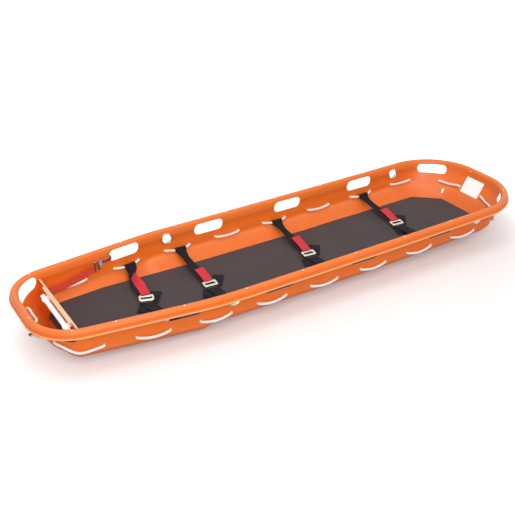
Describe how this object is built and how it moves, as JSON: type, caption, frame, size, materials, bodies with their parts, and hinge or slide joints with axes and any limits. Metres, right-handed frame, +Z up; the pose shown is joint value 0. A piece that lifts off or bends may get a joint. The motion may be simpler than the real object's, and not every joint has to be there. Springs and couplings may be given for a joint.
{
  "type": "basket stretcher",
  "caption": "Moulded rescue basket stretcher with rim tube, woven grab rope, foam mat, lifting eyelets, buckled body straps and a sliding foot board.",
  "frame": {"origin": "centre of the footprint, on the ground under the runners", "axes": "+X towards the head end, +Y towards the patient's right side, +Z up"},
  "size_m": [2.1702, 0.62, 0.1947],
  "materials": {
    "shell": "moulded polyethylene, satin",
    "tube": "drawn tube, satin",
    "steel": "bright plated steel",
    "rope": "braided white rope",
    "mat": "dark grey coated foam",
    "webbing": "woven black webbing",
    "red": "woven red webbing",
    "label": "bare white plate"
  },
  "bodies": {
    "basket": {"shell": "shell", "rim_tube": "tube", "perimeter_rope": "rope", "rope_knot": "rope", "rope_tail": "rope", "rope_tail_tip": "webbing", "eyelet_foot_left": "steel", "eyelet_foot_right": "steel", "eyelet_head_left": "steel", "eyelet_head_right": "steel", "mattress": "mat", "label_plate": "label", "foot_strap_left": "red", "foot_strap_right": "red", "foot_strap_adjuster_left": "steel", "foot_strap_adjuster_right": "steel", "foot_strap_hook_left": "steel", "foot_strap_hook_right": "steel", "foot_strap_end_left": "red", "foot_strap_end_right": "red"},
    "foot_board": {"foot_board": "shell", "foot_board_bar": "rope", "foot_board_bolt_left": "steel", "foot_board_bolt_right": "steel"},
    "strap_1_right_half": {"strap_1_right_web": "webbing", "strap_1_buckle": "steel"},
    "strap_1_tab": {"strap_1_release_tab": "red"},
    "strap_1_left_half": {"strap_1_left_web": "webbing", "strap_1_tongue": "steel", "strap_1_free_end": "webbing"},
    "strap_2_right_half": {"strap_2_right_web": "webbing", "strap_2_buckle": "steel"},
    "strap_2_tab": {"strap_2_release_tab": "red"},
    "strap_2_left_half": {"strap_2_left_web": "webbing", "strap_2_tongue": "steel", "strap_2_free_end": "webbing"},
    "strap_3_right_half": {"strap_3_right_web": "webbing", "strap_3_buckle": "steel"},
    "strap_3_tab": {"strap_3_release_tab": "red"},
    "strap_3_left_half": {"strap_3_left_web": "webbing", "strap_3_tongue": "steel", "strap_3_free_end": "webbing"},
    "strap_4_right_half": {"strap_4_right_web": "webbing", "strap_4_buckle": "steel"},
    "strap_4_tab": {"strap_4_release_tab": "red"},
    "strap_4_left_half": {"strap_4_left_web": "webbing", "strap_4_tongue": "steel", "strap_4_free_end": "webbing"}
  },
  "joints": [
    {"name": "foot_board_slide", "type": "slide", "parent": "basket", "child": "foot_board", "axis": [1, 0, 0], "range_m": [0, 0.15], "deforming": ["foot_strap_left", "foot_strap_right"]},
    {"name": "strap_1_right_swing", "type": "hinge", "parent": "basket", "child": "strap_1_right_half", "pos_m": [-0.56433, 0.24893, 0.08215], "axis": [-0.9916, -0.1285, -0.0127], "range_deg": [0, 95]},
    {"name": "strap_1_left_swing", "type": "hinge", "parent": "basket", "child": "strap_1_left_half", "pos_m": [-0.56433, -0.24893, 0.08215], "axis": [0.9916, -0.1285, 0.0127], "range_deg": [0, 47.5]},
    {"name": "strap_1_tab_lift", "type": "hinge", "parent": "strap_1_right_half", "child": "strap_1_tab", "pos_m": [-0.59079, 0.04114, 0.06211], "axis": [0.9455, -0.3256, 0], "range_deg": [0, 60]},
    {"name": "strap_2_right_swing", "type": "hinge", "parent": "basket", "child": "strap_2_right_half", "pos_m": [-0.3335, 0.26141, 0.08328], "axis": [-1, 0, 0.006], "range_deg": [0, 110]},
    {"name": "strap_2_left_swing", "type": "hinge", "parent": "basket", "child": "strap_2_left_half", "pos_m": [-0.3335, -0.26141, 0.08328], "axis": [1, 0, -0.006], "range_deg": [0, 55]},
    {"name": "strap_2_tab_lift", "type": "hinge", "parent": "strap_2_right_half", "child": "strap_2_tab", "pos_m": [-0.33538, 0.01597, 0.0568], "axis": [0.9976, -0.0698, 0], "range_deg": [0, 60]},
    {"name": "strap_3_right_swing", "type": "hinge", "parent": "basket", "child": "strap_3_right_half", "pos_m": [0.1355, 0.26141, 0.08372], "axis": [-1, 0, -0.0041], "range_deg": [0, 110]},
    {"name": "strap_3_left_swing", "type": "hinge", "parent": "basket", "child": "strap_3_left_half", "pos_m": [0.1355, -0.26141, 0.08372], "axis": [1, 0, 0.0041], "range_deg": [0, 55]},
    {"name": "strap_3_tab_lift", "type": "hinge", "parent": "strap_3_right_half", "child": "strap_3_tab", "pos_m": [0.1289, 0.01595, 0.0556], "axis": [0.9962, -0.0872, 0], "range_deg": [0, 60]},
    {"name": "strap_4_right_swing", "type": "hinge", "parent": "basket", "child": "strap_4_right_half", "pos_m": [0.6045, 0.26141, 0.09197], "axis": [-0.9996, 0, -0.0267], "range_deg": [0, 110]},
    {"name": "strap_4_left_swing", "type": "hinge", "parent": "basket", "child": "strap_4_left_half", "pos_m": [0.6045, -0.26141, 0.09197], "axis": [0.9996, 0, 0.0267], "range_deg": [0, 55]},
    {"name": "strap_4_tab_lift", "type": "hinge", "parent": "strap_4_right_half", "child": "strap_4_tab", "pos_m": [0.6019, 0.02595, 0.06552], "axis": [0.9962, -0.0872, 0], "range_deg": [0, 60]}
  ],
  "couplings": [
    {"joint": "strap_1_left_swing", "follows": "strap_1_right_swing", "ratio": 0.5},
    {"joint": "strap_2_left_swing", "follows": "strap_2_right_swing", "ratio": 0.5},
    {"joint": "strap_3_left_swing", "follows": "strap_3_right_swing", "ratio": 0.5},
    {"joint": "strap_4_left_swing", "follows": "strap_4_right_swing", "ratio": 0.5}
  ]
}
